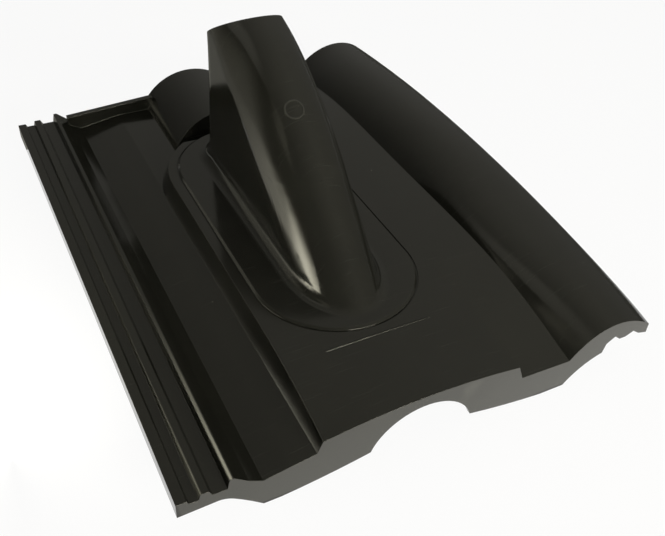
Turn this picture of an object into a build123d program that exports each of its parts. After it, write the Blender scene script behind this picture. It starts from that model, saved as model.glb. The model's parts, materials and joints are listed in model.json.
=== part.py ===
from build123d import *
from math import cos, pi, radians, sin
import os

# Antenna roof tile: an interlocking roof tile and a leaning hood that a mast comes
# out through, moulded in one piece. While it is built, X = 0 is the centre line of
# the hood, Y = 0 the lower (front) edge and Z = 0 the ground that the skirt and the
# nibs stand on. Everything is in millimetres.

# overall size
length = 420
left_edge = -154
right_edge = 176
wall = 3

# how far a cutting shape stands clear of what it cuts, and its lowest level
spare = 1
below = -30

# interlocking ribs, measured from the left edge:
# left foot, left and right end of the crown, right foot, height of the crown
ribs = [
    (0, 0, 6, 7.4, 29),
    (12.9, 13.8, 18.6, 20.6, 30.4),
    (29.2, 30.6, 33, 41.5, 33.6),
]
channel_floor = 26.4
lip_bottom = 18

# left pan: its crease beside the ribs, its knee and its level part
pan_crease = (-104, 21.5)
pan_knee = (-88, 24.5)
pan_level = (-70, 27.4)
middle_lap = 8

# raised platform round the hood
platform_half = 65.5
platform_top = 41.4
platform_draft = 0.4
platform_end = 267
lid_half = 90
lid_camber = 0.3
front_crown = 4.9
crown_run = 90

# right pan, which climbs from the front edge to the platform and falls at the back
valley_x = 110.4
valley_front = 23
valley_high = 41
climb_run = 118
fall_start = 305
fall_depth = 11
pan_tilt = 4.2

# right roll
edge_front = 30.6
edge_bow = 23
edge_bow_top = 260
crest_rise_front = 11.8
crest_rise_back = 6.6
roll_rise = 1.3
roll_fall = 0.75
lip_depth = 8
underlap_x = 151.6
underlap_thick = 5
underlap_reach = 4.2

# how many straight runs the hollow below the pan and the roll is divided into
hollow_runs = 20

# stub of the middle roll at the back, and its steep front face
stub_radius = 48.5
stub_axis_z = 4.5
stub_foot_y = 330
stub_lean = 0.24

# channel that lets water past behind the hood
channel_width = 10
channel_right = 46

# water stops across the back, between the interlock, the stub and the roll
stop_setback = 12
stop_thick = 5
stop_left = [(-114, 34), (-38, 38.5)]
stop_right = [(38, 40.5), (110.4, 38.5)]

# oval plateau under the hood, with a narrow groove round it
ring_radius = 57.6
ring_front_y = 123
ring_back_y = 268
ring_step = 1.6
ring_bevel = 1.5
groove_width = 0.9
groove_depth = 0.8

# hood: front and back in the side view, as places along Y and heights, and the share
# of it from the foot up that is straight; its nose is round at the mouth and longer
# than that, by the given length, at the foot
hood_radius = 27.4
hood_nose = 17
hood_lean = 33
hood_front = [(74, 39.5), (102.5, 66), (138, 101.4), (178.5, 134.4), (215, 156.5), (251, 171)]
hood_back_foot = (310.5, 39.5)
hood_straight = 0.4
hood_fillet = 9
hood_wall = 3
mouth_flat = 0.4

# lower edge of the front skirt, from the left lip over its feet to the right interlock
skirt_lip = [(-130, 19), (-119, 13.6)]
skirt_left_foot = (-104, -93)
skirt_right_foot = (92, 111)
skirt_bend = [(121.4, 10.2), (139, 18.6)]
skirt_notches = [(140.6, 26), (146.8, 30.4), (151.6, 26.4), (156.8, 26.4), (162.8, 29.2), (168.6, 25)]
arch_radius = 37.5
arch_axis_z = -4
arch_end_z = 8.6
haunch = (64, 3.4)

# nibs that hang on the batten, each with two braces behind it
nib_setback = 28
nib_thick = 8
nib_width = 34
nib_places = [-84, 80]
brace_thick = 4
brace_run = 24
brace_foot = 4

# low bar in front of the plateau
bar_y = 57.5
bar_length = 75
bar_width = 0.9
bar_rise = 0.3


def station(y):
    """Upright plane across the tile, seen from the front."""
    return Plane(origin=(0, y, 0), x_dir=(1, 0, 0), z_dir=(0, -1, 0))


def slab(start, end):
    """Block wider and taller than the tile between two stations."""
    return Pos(0, (start + end) / 2, 0) * Box(3 * length, end - start, 3 * length)


def valley(y):
    """Height of the crease between the right pan and the right roll."""
    if y < climb_run:
        return valley_front + (valley_high - valley_front) * sin(pi / 2 * y / climb_run)
    if y < fall_start:
        return valley_high
    return valley_high - fall_depth * ((y - fall_start) / (length - fall_start)) ** 1.5


def edge(y):
    """Height of the right edge of the roll, which is bowed along its length."""
    return edge_front + edge_bow * sin(pi / 2 * y / edge_bow_top) ** 0.8


def crest(y):
    """Height of the top of the right roll."""
    rise = crest_rise_front + (crest_rise_back - crest_rise_front) * min(1, y / climb_run)
    return edge(y) + rise


def roll_rows(start):
    """Stations that the right roll is lofted through, closer where it bends more."""
    return [start] + [length * share for share in (0.07, 0.16, 0.28, 0.45, 0.62, 0.74, 0.87, 1)]


def roll_curve(crease, rim, top):
    """Cubic over the roll. Its middle control points share the height that lifts its
    halfway point to the top, and lie where its ends then have the roll's slopes."""
    shoulder = (top - (crease[1] + rim[1]) / 8) * 4 / 3
    left = crease[0] + (shoulder - crease[1]) / roll_rise
    right = rim[0] - (shoulder - rim[1]) / roll_fall
    return Bezier(crease, (left, shoulder), (right, shoulder), rim)


def right_section(y, inset):
    """Pan and roll as a closed outline; inset is the wall taken off for the hollow."""
    pan = valley(y) + pan_tilt * max(0, 1 - y / climb_run)
    start = (-middle_lap, pan - inset)
    crease = (valley_x + inset / 2, valley(y) - inset)
    rim = (right_edge - inset, edge(y) - inset)
    roll = roll_curve(crease, rim, crest(y) - inset)
    outline = Polyline(rim, (right_edge - inset, below), (-middle_lap, below), start, crease)
    return station(y) * make_face(roll + outline)


def right_side(inset):
    """The top is lofted smoothly; the hollow below it runs straight between closer rows."""
    if not inset:
        return loft([right_section(y, 0) for y in roll_rows(0)])
    rows = [length * row / hollow_runs for row in range(hollow_runs + 1)]
    return loft([right_section(y, inset) for y in rows], ruled=True)


def left_side(inset):
    """Ribs, bank and left pan, the same section for the whole length."""
    bank_x = left_edge + ribs[-1][3]
    outline = [(left_edge + inset, below), (left_edge + inset, channel_floor - inset)]
    if not inset:
        for left_foot, left_crown, right_crown, right_foot, top in ribs:
            outline.append((left_edge + left_foot, channel_floor))
            outline.append((left_edge + left_crown, top))
            outline.append((left_edge + right_crown, top))
            outline.append((left_edge + right_foot, channel_floor))
        outline.pop(1)
        outline.pop(1)
    else:
        outline.append((bank_x - inset / 2, channel_floor - inset))
    for x, z in (pan_crease, pan_knee, pan_level, (middle_lap, pan_level[1])):
        outline.append((x, z - inset))
    outline.append((middle_lap, below))
    return extrude(station(0) * make_face(Polyline(*outline, close=True)), amount=-length)


def platform_outline(z, half):
    """Plan of the platform at a height: open to the front, round behind the hood."""
    line = Polyline((-half, platform_end, z), (-half, 0, z), (half, 0, z), (half, platform_end, z))
    end = ThreePointArc((half, platform_end, z), (0, platform_end + half, z), (-half, platform_end, z))
    return make_face(line + end)


def lid_section(y, inset):
    """Everything below the platform's cambered top at a station."""
    sag = lid_camber + front_crown * max(0, 1 - y / crown_run) ** 2
    side = platform_top - sag * (lid_half / platform_half) ** 2 - inset
    top = ThreePointArc((-lid_half, side), (0, platform_top - inset), (lid_half, side))
    base = Polyline((lid_half, side), (lid_half, below), (-lid_half, below), (-lid_half, side))
    return station(y) * make_face(top + base)


def platform(inset):
    """Platform with sloping sides, under a lid that is crowned at its front."""
    sections = [lid_section(crown_run * step / 4, inset) for step in range(5)]
    lid = loft(sections) + extrude(sections[-1], amount=crown_run - length)
    above = platform_top + spare
    low = platform_outline(below, platform_half - inset + platform_draft * (platform_top - below))
    high = platform_outline(above, platform_half - inset - platform_draft * spare)
    return loft([low, high], ruled=True) & lid


def stub(inset):
    """End of the middle roll with its steep front face."""
    circle = station(0) * Pos(0, stub_axis_z) * Circle(stub_radius - inset)
    top = stub_axis_z + stub_radius
    foot = stub_foot_y + inset
    low = (foot + stub_lean * (below - pan_level[1]), below)
    high = (foot + stub_lean * (top - pan_level[1]), top)
    side = Polyline(low, high, (length, top), (length, below), close=True)
    block = extrude(Plane.YZ * make_face(side), amount=stub_radius + spare, both=True)
    return extrude(circle, amount=-length) & block


def channel(inset):
    """Space of the water channel, with the walls round it when inset is the wall."""
    corner = Align.MIN
    left = pan_crease[0]
    front = stub_foot_y - channel_width - inset
    size = (channel_right + inset - left, channel_width + wall + 2 * inset, platform_top)
    return Pos(left, front, pan_level[1] - inset) * Box(*size, align=(corner, corner, corner))


def body(inset):
    deck = left_side(inset) + right_side(inset) + platform(inset)
    return deck - channel(inset) + stub(inset)


def stadium(z, radius):
    """Oval outline of the plateau at a height."""
    right = Line((radius, ring_front_y, z), (radius, ring_back_y, z))
    back = ThreePointArc((radius, ring_back_y, z), (0, ring_back_y + radius, z), (-radius, ring_back_y, z))
    left = Line((-radius, ring_back_y, z), (-radius, ring_front_y, z))
    front = ThreePointArc((-radius, ring_front_y, z), (0, ring_front_y - radius, z), (radius, ring_front_y, z))
    return make_face(right + back + left + front)


def plateau():
    top = platform_top + ring_step
    foot = stadium(hood_front[0][1] - spare, ring_radius)
    rim = stadium(top - ring_bevel, ring_radius)
    return loft([foot, rim], ruled=True) + loft([rim, stadium(top, ring_radius - ring_bevel)], ruled=True)


def groove():
    """Narrow groove round the foot of the plateau."""
    floor = platform_top - groove_depth
    ring = stadium(floor, ring_radius + groove_width) - stadium(floor, ring_radius)
    return extrude(ring, amount=groove_depth + spare)


def hood_section(share, inset):
    """Oval across the hood, part of the way from its foot to the round mast opening."""
    lean = radians(hood_lean)
    top_front = Vector(*hood_front[-1])
    top_back = top_front + Vector(cos(lean), -sin(lean)) * (2 * hood_radius)
    start = Spline(*hood_front) @ share
    run = Line(hood_back_foot, top_back) @ share - start
    middle = start + run / 2
    plane = Plane(origin=(0, middle.X, middle.Y), x_dir=(0, run.X, run.Y), z_dir=(0, -run.Y, run.X))
    half = max(run.length / 2, hood_radius + mouth_flat / 2) - inset
    side = hood_radius - inset
    nose = side + hood_nose * (1 - share)
    back = ThreePointArc((half - side, -side), (half, 0), (half - side, side))
    front = EllipticalCenterArc((nose - half, 0), nose, side, start_angle=90, arc_size=180)
    left = Line((half - side, side), (nose - half, side))
    right = Line((nose - half, -side), (half - side, -side))
    return plane * make_face(back + left + front + right)


def hood_rows(count, inset):
    """Sections from the end of the straight part to the mast opening."""
    shares = [hood_straight + (1 - hood_straight) * row / (count - 1) for row in range(count)]
    return [hood_section(share, inset) for share in shares]


def hood():
    """Hood and plateau, with a rounded foot between them."""
    curved = hood_rows(11, 0)
    skin = loft([hood_section(0, 0), curved[0]], ruled=True) + loft(curved)
    ring = plateau()
    base = ring + skin
    return fillet(new_edges(ring, skin, combined=base), hood_fillet)


def mast_passage():
    """Inside of the hood, one wall in, open at the mouth and through the shell."""
    faces = [hood_section(0, hood_wall)] + hood_rows(6, hood_wall)
    bore = loft(faces, ruled=True)
    bore += extrude(faces[0], amount=pan_level[1] - platform_top)
    bore += extrude(faces[-1], amount=spare)
    return bore


def under_skirt():
    """What is cut away below the front skirt, arch and interlock notches included."""
    arch_end_x = (arch_radius**2 - (arch_end_z - arch_axis_z) ** 2) ** 0.5
    left = left_edge - spare
    right = right_edge + spare
    left_end = (-arch_end_x, arch_end_z)
    right_end = (arch_end_x, arch_end_z)
    left_toe, left_heel = (skirt_left_foot[0], 0), (skirt_left_foot[1], 0)
    right_heel, right_toe = (skirt_right_foot[0], 0), (skirt_right_foot[1], 0)
    haunch_x, haunch_z = haunch
    curve = Polyline((left, below), (left, lip_bottom), skirt_lip[0])
    curve += Spline(*skirt_lip, left_toe, tangents=[(1, -0.1), (1, -0.8), (1, -1)])
    curve += Line(left_toe, left_heel)
    curve += ThreePointArc(left_heel, (-haunch_x, haunch_z), left_end)
    curve += ThreePointArc(left_end, (0, arch_axis_z + arch_radius), right_end)
    curve += ThreePointArc(right_end, (haunch_x, haunch_z), right_heel)
    curve += Line(right_heel, right_toe)
    curve += ThreePointArc(right_toe, *skirt_bend)
    lip = edge_front - lip_depth
    curve += Polyline(skirt_bend[-1], *skirt_notches, (right, lip), (right, below), (left, below))
    return extrude(station(-spare) * make_face(curve), amount=-(wall + 2 * spare))


def under_left_lip():
    corner = Align.MIN
    size = (wall + 2 * spare, length, lip_bottom - below)
    return Pos(left_edge - spare, wall, below) * Box(*size, align=(corner, corner, corner))


def strip(y, x0, x1, z0, z1):
    return station(y) * make_face(Polyline((x0, z0), (x1, z0), (x1, z1), (x0, z1), close=True))


def under_right_lip():
    """Follows the bow of the roll, so that the lip keeps its depth."""
    inner = right_edge - wall - spare
    outer_x = right_edge + spare
    return loft([strip(y, inner, outer_x, below, edge(y) - lip_depth) for y in roll_rows(wall)])


def underlap_rib():
    """Rib below the roll that lies in the next tile's channel."""
    inner, outer_x = underlap_x, underlap_x + underlap_thick
    faces = []
    for y in roll_rows(0):
        faces.append(strip(y, inner, outer_x, edge(y) - underlap_reach, crest(y) - wall - spare))
    return loft(faces)


def water_stop(start, end, low):
    """Upright wall across a pan at the back, its top falling to one side."""
    outline = Polyline((start[0], low), start, end, (end[0], low), close=True)
    return extrude(station(length - stop_setback) * make_face(outline), amount=-stop_thick)


def nib(x):
    """Lug that hooks over the batten, braced from behind."""
    front = length - nib_setback
    rear = front + nib_thick
    lug = Pos(x, (front + rear) / 2, platform_top / 2) * Box(nib_width, nib_thick, platform_top)
    side = Polyline((rear, platform_top), (rear + brace_run, platform_top), (rear, brace_foot), close=True)
    brace = extrude(Plane.YZ * make_face(side), amount=brace_thick / 2, both=True)
    return lug + [Pos(x + side * nib_width / 3, 0, 0) * brace for side in (-1, 1)]


def front_bar(deck):
    """Low straight bar in front of the plateau, its top a little above the deck all along."""
    bar = Pos(0, bar_y, platform_top) * Box(bar_length, bar_width, wall)
    return bar & Pos(0, 0, bar_rise) * deck


# the shell: everything under the top surfaces, less the same one wall lower
outer = body(0)
hollow = body(wall) - slab(-spare, wall)
tile = outer - hollow

# the hood, and the edges all round
tile -= groove()
tile += hood()
tile -= under_skirt() + under_left_lip() + under_right_lip()

# what stands on the shell or hangs below it
tile += underlap_rib() & outer
for x in nib_places:
    tile += nib(x) & outer
stops = water_stop(*stop_left, pan_crease[1] - wall / 2)
stops += water_stop(*stop_right, valley(length) - wall / 2)
tile += stops - hollow
tile += front_bar(outer)
tile -= mast_passage()

# the model's origin is below the middle of the tile, on the ground
tile = Pos(-(left_edge + right_edge) / 2, -length / 2, 0) * tile
os.makedirs("parts", exist_ok=True)
export_step(tile, "parts/tile.step")
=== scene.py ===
import json
from math import pi

import bpy
import numpy as np
from mathutils import Matrix, Vector

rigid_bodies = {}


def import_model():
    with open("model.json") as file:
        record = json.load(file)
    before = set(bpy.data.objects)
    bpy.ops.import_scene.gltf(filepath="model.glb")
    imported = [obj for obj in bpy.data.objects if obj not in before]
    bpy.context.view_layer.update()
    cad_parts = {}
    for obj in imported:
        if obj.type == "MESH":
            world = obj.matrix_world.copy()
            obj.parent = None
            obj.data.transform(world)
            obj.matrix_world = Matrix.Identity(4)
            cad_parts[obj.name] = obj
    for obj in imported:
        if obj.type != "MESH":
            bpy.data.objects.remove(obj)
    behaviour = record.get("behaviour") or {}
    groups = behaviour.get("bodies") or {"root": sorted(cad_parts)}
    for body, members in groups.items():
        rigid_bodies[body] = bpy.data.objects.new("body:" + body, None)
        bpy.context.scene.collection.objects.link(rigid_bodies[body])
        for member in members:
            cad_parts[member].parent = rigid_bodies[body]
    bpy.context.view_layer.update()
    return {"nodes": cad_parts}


# Antenna roof tile, one black plastic moulding with a leaning hood for a mast.
# The frame gives its shape in metres: +Y runs up the roof slope, +Z away from it.

for start_object in list(bpy.data.objects):
    bpy.data.objects.remove(start_object)
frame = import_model()

MM = 0.001

# camera, at the photograph's viewing angle
LENS_MM = 44.70
SENSOR_MM = 36.0
CLIP_START = 10 * MM
CAMERA_PLACE = (-0.21883, -0.46308, 0.40615)
CAMERA_RIGHT = (0.89169, -0.45060, 0.04311)
CAMERA_UP = (0.26125, 0.59005, 0.76392)

# the plastic: size and depth of its patterns, and how rough it is
PLASTIC_IOR = 1.49
WAVE_LENGTH, WAVE_DEPTH = 25 * MM, 0.02 * MM
SKIN_GRAIN, SKIN_DEPTH = 1.5 * MM, 0.002 * MM
GLOSSIEST, DULLEST = 0.1, 0.16
EDGE_RADIUS, EDGE_SAMPLES = 0.4 * MM, 6
EDGE_WEAR, WORN_ROUGHNESS = 0.6, 0.12
SCUFF_LENGTH, SCUFF_WIDTH = 30 * MM, 0.4 * MM
SCUFF_ANGLES, SCUFF_ROUGHNESS = (0.5, 1.9), 0.04
SCUFF_FAINT, SCUFF_CLEAR = 0.77, 0.87  # levels of the noise that draws them
DUST_SPACING, DUST_RADIUS, DUST_CORE = 30 * MM, 0.36 * MM, 0.18 * MM

# plain round mark of the mould on the hood's front; its paler ring is a painted glint
MARK_CENTRE = (-14 * MM, -28 * MM, 136 * MM)
MARK_RADIUS, MARK_HALF_WIDTH, MARK_DEPTH = 6.5 * MM, 1.2 * MM, 0.4 * MM

# painted highlights along the crests of the left rail and the rib beside it: the crest's x and z,
# and the power by which its line fades towards the back
RAIL_CREST = (-133.6 * MM, 34 * MM, 3.0)
RIB_CREST = (-151.4 * MM, 30 * MM, 6.0)
LINE_HALF_WIDTH, LINE_CORE, LINE_HEIGHT = 1.2 * MM, 0.4 * MM, 6 * MM
LINE_BACK, LINE_FULL = 0.0, -195 * MM
SKIRT_FACE, SKIRT_EDGE = -209.9 * MM, -209.4 * MM

# the hood's flat side meets its nose at y = NOSE_SLOPE z + NOSE_START
NOSE_SLOPE, NOSE_START = 1.17, -142 * MM
EASE_REACH, EASE_LEAN = 24 * MM, (0.0, -0.2, 0.23)
FOOT_TOP, FOOT_CLEAR = 47 * MM, 55 * MM
RIGHT_OF_HOOD, HOOD_EDGE = 50 * MM, 40 * MM

# the studio: a white table with paper round it, dim glowing cards that only the tile's
# reflections show, and a lit panel on the left
TABLE_REACH, TABLE_WHITENESS = 6.0, 0.92
PAPER_HEIGHT, PAPER_BRIGHTNESS = 5.0, 0.95
BEHIND_TILE = 0.215
CARD_EDGES = {  # left, right, front, back
    "back_card": (-0.6, 4.0, BEHIND_TILE, 4.0),
    "right_card": (0.3, 4.0, -1.0, BEHIND_TILE),
}
CARD_HEIGHT = 1 * MM
GLOW_WAY = (-0.417, 0.35, 0.839)
GLOW_EDGE, GLOW_CORE, GLOW_BRIGHTNESS = 0.945, 0.99, 0.33
PANEL_X, PANEL_FRONT, PANEL_BACK, PANEL_TOP = -0.237, -0.12, 0.3, 0.5
PANEL_LEVELS = {  # axis, where the level starts and stops changing, and its level at each
    "low front": ("Y", -0.06, 0.03, 7.5, 0.0),
    "low along": ("Y", -0.02, 0.22, 2.2, 0.4),
    "high along": ("Y", 0.0, 0.1, 0.12, 0.5),
    "high up": ("Z", 0.2, 0.5, 1.0, 0.3),
    "corner along": ("Y", -0.08, -0.02, 0.4, 0.0),
    "corner up": ("Z", 0.22, 0.32, 0.0, 1.0),
    "share of low": ("Z", 0.115, 0.02, 0.0, 1.0),
}


def linear(hex_colour):
    """sRGB hex to linear RGBA."""
    channels = np.array([int(hex_colour[i : i + 2], 16) for i in (1, 3, 5)]) / 255
    low, high = channels / 12.92, ((channels + 0.055) / 1.055) ** 2.4
    return (*np.where(channels <= 0.04045, low, high), 1.0)


def add_node(tree, kind, settings=None, links=None):
    """Adds a node, sets its sockets, by name or number, or properties, and links its inputs."""
    node = tree.nodes.new(kind)
    for name, value in (settings or {}).items():
        if isinstance(name, int) or name in node.inputs:
            node.inputs[name].default_value = value
        else:
            setattr(node, name, value)
    for name, source in (links or {}).items():
        tree.links.new(source, node.inputs[name])
    return node


def empty_tree(owner):
    """Node tree of a material or world, without the nodes that it starts with."""
    owner.use_nodes = True
    owner.node_tree.nodes.clear()
    return owner.node_tree


def share_within(tree, limits, rise="LINEAR"):
    """How far, 0 to 1, a place lies within all limits: the product of a ramp for each. A limit
    is a value, where its ramp starts and where it is full."""
    share = None
    for value, start, full in limits:
        highest = {} if share is None else {"To Max": share}
        share = add_node(
            tree,
            "ShaderNodeMapRange",
            {"interpolation_type": rise, "From Min": start, "From Max": full},
            {"Value": value, **highest},
        ).outputs[0]
    return share


def gap(tree, value, middle):
    """How far a value is from a middle, on either side."""
    off = add_node(tree, "ShaderNodeMath", {"operation": "SUBTRACT", 1: middle}, {0: value})
    either = add_node(tree, "ShaderNodeMath", {"operation": "ABSOLUTE"}, {0: off.outputs[0]})
    return either.outputs[0]


def make_camera():
    """Camera from its place and its own directions to the right and up."""
    right, up = Vector(CAMERA_RIGHT), Vector(CAMERA_UP)
    back = right.cross(up)
    camera = bpy.data.objects.new("camera", bpy.data.cameras.new("camera"))
    camera.data.lens = LENS_MM
    camera.data.sensor_width = SENSOR_MM
    camera.data.clip_start = CLIP_START
    turn = Matrix((right, up, back)).transposed().to_4x4()
    camera.matrix_world = Matrix.Translation(CAMERA_PLACE) @ turn
    bpy.context.scene.collection.objects.link(camera)
    bpy.context.scene.camera = camera


def eased_flank(tree, axes, normal):
    """Leans the surface's normal so that the hood's flat side turns softly into its nose, over
    EASE_REACH either way from the line where they meet."""
    y_less_slope = add_node(
        tree,
        "ShaderNodeMath",
        {"operation": "MULTIPLY_ADD", 1: -NOSE_SLOPE},
        {0: axes.outputs["Z"], 2: axes.outputs["Y"]},
    )
    limits = (
        (gap(tree, y_less_slope.outputs[0], NOSE_START), EASE_REACH, 0.0),
        (axes.outputs["Z"], FOOT_TOP, FOOT_CLEAR),
        (axes.outputs["X"], RIGHT_OF_HOOD, HOOD_EDGE),
    )
    share = share_within(tree, limits, "SMOOTHSTEP")
    vectors = "ShaderNodeVectorMath"
    lean = add_node(tree, vectors, {"operation": "SCALE", 0: EASE_LEAN}, {"Scale": share})
    leant = add_node(tree, vectors, {"operation": "ADD"}, {0: normal, 1: lean.outputs[0]})
    unit = add_node(tree, vectors, {"operation": "NORMALIZE"}, {0: leant.outputs[0]})
    return unit.outputs[0]


def painted_crest_highlight(tree, axes, crest_x, crest_z, fade):
    """A painted highlight: a thin pale line along a crest, strongest near the front edge.
    It leaves out the face of the skirt."""
    forward = share_within(tree, ((axes.outputs["Y"], LINE_BACK, LINE_FULL),))
    faded = add_node(tree, "ShaderNodeMath", {"operation": "POWER", 1: fade}, {0: forward})
    limits = (
        (gap(tree, axes.outputs["X"], crest_x), LINE_HALF_WIDTH, LINE_CORE),
        (axes.outputs["Z"], crest_z - LINE_HEIGHT, crest_z),
        (faded.outputs[0], 0.0, 1.0),
        (axes.outputs["Y"], SKIRT_FACE, SKIRT_EDGE),
    )
    return share_within(tree, limits)


def scuffs_at(tree, place, angle):
    """Scuffs that run one way: the peaks of a noise that is drawn out along them."""
    along, across = 1 / SCUFF_LENGTH, 1 / SCUFF_WIDTH
    stretched = add_node(
        tree,
        "ShaderNodeMapping",
        {"Rotation": (0.0, 0.0, angle), "Scale": (along, across, along)},
        {"Vector": place},
    ).outputs[0]
    streaks = add_node(
        tree, "ShaderNodeTexNoise", {"Scale": 1.0, "Detail": 0.0}, {"Vector": stretched}
    )
    return share_within(tree, ((streaks.outputs["Fac"], SCUFF_FAINT, SCUFF_CLEAR),))


def moulded_polypropylene():
    """Black polypropylene, injection moulded in a polished tool. To the eye it is near black
    with a slight olive cast, smooth and satin-glossy, a little uneven where it cooled, with
    hair-thin scuffs, grains of dust and edges dulled by handling. Pale lines along two crests
    are painted highlights, and the paler ring of the mould's mark is a painted glint."""
    material = bpy.data.materials.new("moulded_polypropylene")
    tree = empty_tree(material)
    place = add_node(tree, "ShaderNodeTexCoord").outputs["Object"]
    axes = add_node(tree, "ShaderNodeSeparateXYZ", links={"Vector": place})

    # waves where the plastic cooled unevenly, and the fine skin of the mould
    noise = "ShaderNodeTexNoise"
    waves = add_node(tree, noise, {"Scale": 1 / WAVE_LENGTH, "Detail": 2.0}, {"Vector": place})
    skin = add_node(tree, noise, {"Scale": 1 / SKIN_GRAIN, "Detail": 3.0}, {"Vector": place})

    # rounded edges; they are dulled where the rounding turns the surface by 8 to 37 degrees
    rounded = add_node(
        tree, "ShaderNodeBevel", {"samples": EDGE_SAMPLES, "Radius": EDGE_RADIUS}
    ).outputs["Normal"]
    flat = add_node(tree, "ShaderNodeNewGeometry").outputs["Normal"]
    turn_cosine = add_node(
        tree, "ShaderNodeVectorMath", {"operation": "DOT_PRODUCT"}, {0: rounded, 1: flat}
    ).outputs["Value"]
    worn = add_node(
        tree,
        "ShaderNodeMapRange",
        {"From Min": 0.99, "From Max": 0.8, "To Max": EDGE_WEAR},
        {"Value": turn_cosine},
    ).outputs[0]

    one_way, other_way = (scuffs_at(tree, place, angle) for angle in SCUFF_ANGLES)
    scuffed = add_node(
        tree, "ShaderNodeMath", {"operation": "MAXIMUM"}, {0: one_way, 1: other_way}
    ).outputs[0]

    # grains of dust, with their sizes counted in spacings, as the pattern counts them
    grains = add_node(
        tree, "ShaderNodeTexVoronoi", {"Scale": 1 / DUST_SPACING}, {"Vector": place}
    ).outputs["Distance"]
    grain_edge, grain_core = DUST_RADIUS / DUST_SPACING, DUST_CORE / DUST_SPACING
    dust = share_within(tree, ((grains, grain_edge, grain_core),))

    # the mould's mark is a ring round its centre: raised by a bump, and painted paler as a glint
    from_centre = add_node(
        tree, "ShaderNodeVectorMath", {"operation": "DISTANCE", 1: MARK_CENTRE}, {0: place}
    ).outputs["Value"]
    off_ring = gap(tree, from_centre, MARK_RADIUS)
    ring = share_within(tree, ((off_ring, MARK_HALF_WIDTH, 0.0),), "SMOOTHSTEP")

    colour = add_node(
        tree,
        "ShaderNodeMix",
        {"data_type": "RGBA", 6: linear("#161613"), 7: linear("#1c1c18")},
        {0: waves.outputs["Fac"]},
    ).outputs[2]
    for share, paler in (
        (worn, "#3a3a34"),
        (scuffed, "#2a2a26"),
        # painted glint: the ring of the mould's mark is paler
        (ring, "#2e2e2a"),
        # painted highlights: pale lines along the crests of the rail and the rib
        (painted_crest_highlight(tree, axes, *RAIL_CREST), "#a8a79b"),
        (painted_crest_highlight(tree, axes, *RIB_CREST), "#7c7b71"),
        (dust, "#8f8e84"),
    ):
        colour = add_node(
            tree,
            "ShaderNodeMix",
            {"data_type": "RGBA", 7: linear(paler)},
            {0: share, 6: colour},
        ).outputs[2]

    roughness = add_node(
        tree,
        "ShaderNodeMapRange",
        {"From Min": 0.3, "From Max": 0.7, "To Min": GLOSSIEST, "To Max": DULLEST},
        {"Value": waves.outputs["Fac"]},
    ).outputs[0]
    for share, added in ((worn, WORN_ROUGHNESS), (scuffed, SCUFF_ROUGHNESS)):
        roughness = add_node(
            tree,
            "ShaderNodeMath",
            {"operation": "MULTIPLY_ADD", 1: added},
            {0: share, 2: roughness},
        ).outputs[0]

    normal = eased_flank(tree, axes, rounded)
    for height, depth in (
        (waves.outputs[0], WAVE_DEPTH),
        (skin.outputs[0], SKIN_DEPTH),
        (ring, MARK_DEPTH),
    ):
        normal = add_node(
            tree,
            "ShaderNodeBump",
            {"Strength": 1.0, "Distance": depth},
            {"Height": height, "Normal": normal},
        ).outputs[0]

    surface = add_node(
        tree,
        "ShaderNodeBsdfPrincipled",
        {"IOR": PLASTIC_IOR, "Specular Tint": linear("#fffdf2")},
        {"Base Color": colour, "Roughness": roughness, "Normal": normal},
    )
    add_node(tree, "ShaderNodeOutputMaterial", links={"Surface": surface.outputs["BSDF"]})
    return material


def seen_by_eye(tree):
    """1 for what is seen of the surroundings, straight or mirrored, 0 for their light."""
    rays = add_node(tree, "ShaderNodeLightPath")
    seen = rays.outputs["Is Camera Ray"]
    for kind in ("Is Glossy Ray", "Is Transmission Ray"):
        seen = add_node(
            tree, "ShaderNodeMath", {"operation": "MAXIMUM"}, {0: seen, 1: rays.outputs[kind]}
        ).outputs[0]
    return seen


def make_sheet(name, corners, material, hidden_from=()):
    """Flat four-sided piece of the studio, from its corners in order round it, and the kinds
    of ray that it is hidden from."""
    mesh = bpy.data.meshes.new(name)
    mesh.from_pydata(corners, [], [(0, 1, 2, 3)])
    mesh.materials.append(material)
    sheet = bpy.data.objects.new(name, mesh)
    bpy.context.scene.collection.objects.link(sheet)
    for rays in hidden_from:
        setattr(sheet, f"visible_{rays}", False)


def level_corners(left, right, front, back, height):
    """Corners of a level rectangle, in order round it."""
    plan = ((left, front), (right, front), (right, back), (left, back))
    return [(x, y, height) for x, y in plan]


def make_floor():
    """White table. It is seen as plain white with the tile's shadow faintly on it."""
    material = bpy.data.materials.new("white_table")
    tree = empty_tree(material)
    paint = add_node(tree, "ShaderNodeBsdfDiffuse", {"Color": linear("#f4f4f0")})
    white = add_node(tree, "ShaderNodeEmission", {"Color": linear("#ffffff"), "Strength": 1.0})
    share = add_node(
        tree,
        "ShaderNodeMath",
        {"operation": "MULTIPLY", 1: TABLE_WHITENESS},
        {0: seen_by_eye(tree)},
    )
    links = {0: share.outputs[0], 1: paint.outputs[0], 2: white.outputs[0]}
    mixed = add_node(tree, "ShaderNodeMixShader", links=links)
    add_node(tree, "ShaderNodeOutputMaterial", links={"Surface": mixed.outputs[0]})
    edges = (-TABLE_REACH, TABLE_REACH, -TABLE_REACH, TABLE_REACH)
    make_sheet("floor", level_corners(*edges, 0.0), material)


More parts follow.
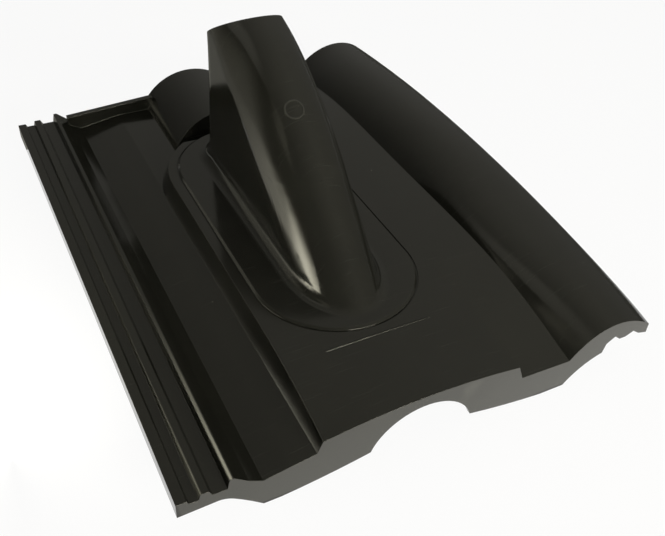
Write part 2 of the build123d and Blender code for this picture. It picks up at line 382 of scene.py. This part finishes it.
def make_paper_walls():
    """White paper round the studio, only there to be seen behind the tile."""
    material = bpy.data.materials.new("white_paper")
    tree = empty_tree(material)
    look = {"Color": linear("#ffffff"), "Strength": PAPER_BRIGHTNESS}
    white = add_node(tree, "ShaderNodeEmission", look)
    add_node(tree, "ShaderNodeOutputMaterial", links={"Surface": white.outputs[0]})
    edges = (-TABLE_REACH, TABLE_REACH, -TABLE_REACH, TABLE_REACH)
    low, high = level_corners(*edges, 0.0), level_corners(*edges, PAPER_HEIGHT)
    for side in range(4):
        end = (side + 1) % 4
        corners = [low[side], low[end], high[end], high[side]]
        wall = f"paper_wall_{side}"
        make_sheet(wall, corners, material, ("diffuse", "glossy", "transmission", "shadow"))


def make_cards():
    """Dim glowing cards behind and beside the tile, out of the camera's sight, that its shiny
    sides mirror: painted reflections of dim surroundings."""
    material = bpy.data.materials.new("glowing_reflection_card")
    tree = empty_tree(material)
    place = add_node(tree, "ShaderNodeTexCoord").outputs["Object"]
    axes = add_node(tree, "ShaderNodeSeparateXYZ", links={"Vector": place})
    # painted light: the cards glow brighter to the left of the tile's middle than to its right
    shade = add_node(
        tree,
        "ShaderNodeMapRange",
        {"From Min": -0.05, "From Max": 0.15, "To Min": 0.26, "To Max": 0.08},
        {"Value": axes.outputs["X"]},
    ).outputs[0]
    grey = add_node(tree, "ShaderNodeEmission", {"Color": linear("#fffdee")}, {"Strength": shade})
    add_node(tree, "ShaderNodeOutputMaterial", links={"Surface": grey.outputs[0]})
    for name, edges in CARD_EDGES.items():
        corners = level_corners(*edges, CARD_HEIGHT)
        make_sheet(name, corners, material, ("camera", "shadow", "diffuse"))


def make_world():
    """A grey studio: dim to the left and low down, lighter towards the right, with one soft
    glow high up behind on the left."""
    world = bpy.data.worlds.new("studio")
    bpy.context.scene.world = world
    tree = empty_tree(world)
    way = add_node(tree, "ShaderNodeTexCoord").outputs["Generated"]
    axes = add_node(tree, "ShaderNodeSeparateXYZ", links={"Vector": way})
    sideways = add_node(
        tree,
        "ShaderNodeMapRange",
        {"From Min": -0.5, "From Max": 0.5, "To Min": 0.15, "To Max": 0.37},
        {"Value": axes.outputs["X"]},
    ).outputs[0]
    upwards = add_node(
        tree,
        "ShaderNodeMapRange",
        {"From Min": 0.0, "From Max": 1.0, "To Min": 0.4, "To Max": 1.35},
        {"Value": axes.outputs["Z"]},
    ).outputs[0]
    glow_cosine = add_node(
        tree, "ShaderNodeVectorMath", {"operation": "DOT_PRODUCT", 1: GLOW_WAY}, {0: way}
    ).outputs["Value"]
    glow = add_node(
        tree,
        "ShaderNodeMapRange",
        {
            "interpolation_type": "SMOOTHSTEP",
            "From Min": GLOW_EDGE,
            "From Max": GLOW_CORE,
            "To Max": GLOW_BRIGHTNESS,
        },
        {"Value": glow_cosine},
    ).outputs[0]
    brightness = add_node(
        tree,
        "ShaderNodeMath",
        {"operation": "MULTIPLY_ADD"},
        {0: sideways, 1: upwards, 2: glow},
    ).outputs[0]
    colour = {"Color": linear("#fffdf4")}
    wall = add_node(tree, "ShaderNodeBackground", colour, {"Strength": brightness})
    add_node(tree, "ShaderNodeOutputWorld", links={"Surface": wall.outputs[0]})


def make_side_panel():
    """Lit panel beside the tile: low down bright in front and dim behind, higher up faint, and
    a little brighter in its upper front corner."""
    material = bpy.data.materials.new("lit_panel")
    tree = empty_tree(material)
    place = add_node(tree, "ShaderNodeTexCoord").outputs["Object"]
    axes = add_node(tree, "ShaderNodeSeparateXYZ", links={"Vector": place})
    level = {}
    for name, (axis, start, end, first, last) in PANEL_LEVELS.items():
        ramp = {"From Min": start, "From Max": end, "To Min": first, "To Max": last}
        level[name] = add_node(
            tree,
            "ShaderNodeMapRange",
            {"interpolation_type": "SMOOTHSTEP", **ramp},
            {"Value": axes.outputs[axis]},
        ).outputs[0]

    low = add_node(
        tree,
        "ShaderNodeMath",
        {"operation": "ADD"},
        {0: level["low front"], 1: level["low along"]},
    ).outputs[0]
    corner = add_node(
        tree,
        "ShaderNodeMath",
        {"operation": "MULTIPLY"},
        {0: level["corner along"], 1: level["corner up"]},
    ).outputs[0]
    high = add_node(
        tree,
        "ShaderNodeMath",
        {"operation": "MULTIPLY_ADD"},
        {0: level["high along"], 1: level["high up"], 2: corner},
    ).outputs[0]
    brightness = add_node(
        tree, "ShaderNodeMix", links={0: level["share of low"], 2: high, 3: low}
    ).outputs[0]
    colour = {"Color": linear("#fffcec")}
    lit = add_node(tree, "ShaderNodeEmission", colour, {"Strength": brightness})
    add_node(tree, "ShaderNodeOutputMaterial", links={"Surface": lit.outputs[0]})
    corners = [
        (PANEL_X, PANEL_FRONT, 0.0),
        (PANEL_X, PANEL_BACK, 0.0),
        (PANEL_X, PANEL_BACK, PANEL_TOP),
        (PANEL_X, PANEL_FRONT, PANEL_TOP),
    ]
    make_sheet("side_panel", corners, material, ("camera",))


def make_softbox(name, place, facing, size, brightness):
    """Rectangular lamp whose face has the given brightness, where 1 is white."""
    light = bpy.data.lights.new(name, "AREA")
    light.shape = "RECTANGLE"
    light.size, light.size_y = size
    light.energy = pi * size[0] * size[1] * brightness
    light.color = linear("#fffcef")[:3]
    lamp = bpy.data.objects.new(name, light)
    lamp.location = place
    lamp.rotation_mode = "QUATERNION"
    lamp.rotation_quaternion = Vector(facing).to_track_quat("-Z", "Y")
    lamp.visible_camera = False
    bpy.context.scene.collection.objects.link(lamp)


def make_lamps():
    """A softbox in front of the tile, and a strip of table at its front edge that shines up."""
    make_softbox(
        "front_softbox",
        place=(0.21, -1.51, 0.49),
        facing=(-0.21, 1.51, -0.49),
        size=(0.8, 0.3),
        brightness=36.0,
    )
    make_softbox(
        "front_table",
        place=(0.08, -0.2415, 0.001),
        facing=(0, 0, 1),
        size=(0.48, 0.062),
        brightness=0.42,
    )


tile = frame["nodes"]["tile"]
tile.material_slots[0].material = moulded_polypropylene()

make_camera()
make_floor()
make_paper_walls()
make_cards()
make_world()
make_side_panel()
make_lamps()

bpy.context.scene.view_settings.view_transform = "Standard"
